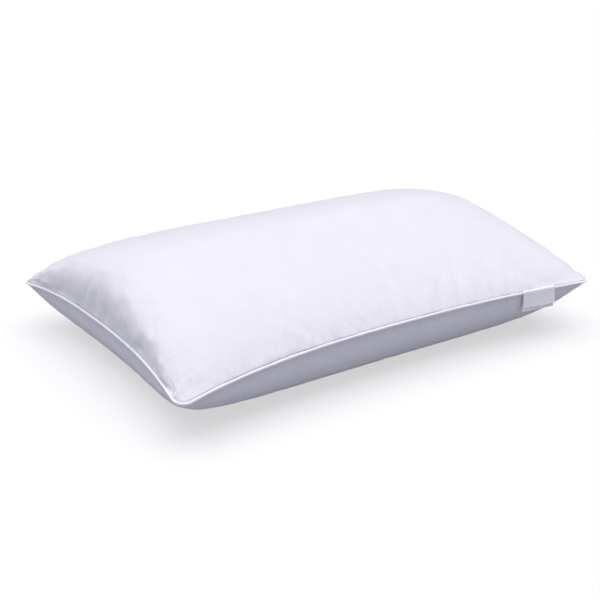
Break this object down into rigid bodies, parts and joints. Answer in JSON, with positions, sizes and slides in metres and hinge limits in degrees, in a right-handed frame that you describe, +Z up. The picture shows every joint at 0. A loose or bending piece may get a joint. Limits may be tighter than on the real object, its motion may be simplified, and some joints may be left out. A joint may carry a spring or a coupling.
{
  "type": "bed pillow",
  "caption": "Plump rectangular bed pillow with a corded piping all round its edge seam and small sewn labels that hang from one long side.",
  "frame": {"origin": "middle of the pillow's footprint, on the surface that it lies on", "axes": "+Z up, through the crown; +X along the long sides, towards the end nearest the labels; the labels hang from the side at -Y"},
  "size_m": [0.674, 0.4752, 0.165],
  "materials": {
    "percale": "matte",
    "piping": "matte",
    "cord": "matte",
    "filling": "matte",
    "thread": "satin",
    "label": "satin"
  },
  "bodies": {
    "pillow": {"top_panel": "percale", "bottom_panel": "percale", "piping_cover": "piping", "piping_cord": "cord", "filling": "filling", "seam_needle_thread": "thread", "seam_bobbin_thread": "thread", "edge_overlock_thread": "thread", "closing_thread": "thread"},
    "label_flap": {"content_label": "label", "care_label": "label", "label_thread": "thread"}
  },
  "joints": [
    {"name": "label_fold", "type": "hinge", "parent": "pillow", "child": "label_flap", "pos_m": [0.23789, -0.22959, 0.07825], "axis": [-0.9972, 0.0677, 0.0329], "range_deg": [0, 110]}
  ]
}
